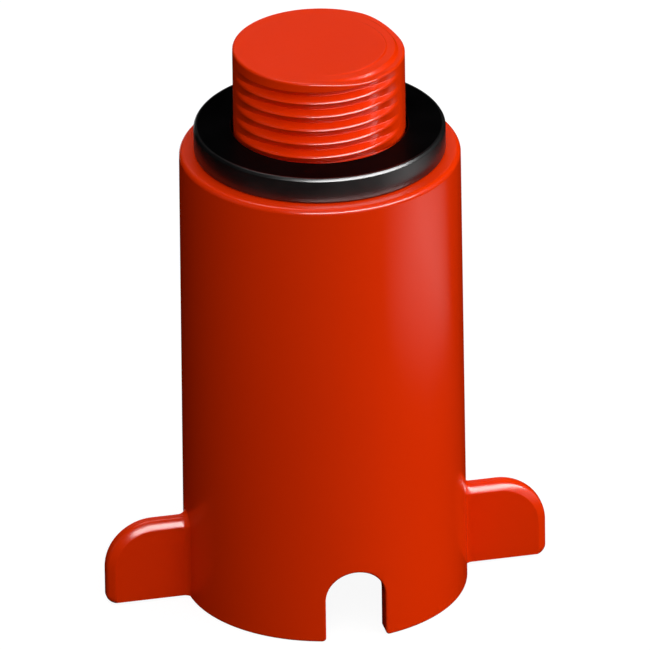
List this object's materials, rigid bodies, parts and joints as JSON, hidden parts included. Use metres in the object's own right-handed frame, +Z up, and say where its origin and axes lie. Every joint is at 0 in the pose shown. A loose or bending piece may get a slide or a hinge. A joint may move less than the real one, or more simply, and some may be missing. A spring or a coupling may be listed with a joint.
{
  "type": "pipe test plug",
  "caption": "Long threaded blanking plug with wings, driving notches and a flat sealing ring, to close a pipe outlet for pressure testing.",
  "frame": {"origin": "centre of the open rim, on the surface that the plug stands on", "axes": "+Z up the plug's axis towards the threaded stud's closed end, X along the two wings, the two rim notches facing -Y and +Y"},
  "size_m": [0.0548, 0.0344, 0.072],
  "materials": {
    "moulded_plastic": "satin-gloss red moulded plastic",
    "seal_rubber": "smooth black rubber"
  },
  "bodies": {
    "plug": {"plug_body": "moulded_plastic"},
    "ring": {"sealing_ring": "seal_rubber"}
  },
  "joints": [
    {"name": "seal_ring_slide", "type": "slide", "parent": "plug", "child": "ring", "axis": [0, 0, 1], "range_m": [0, 0.02]}
  ]
}
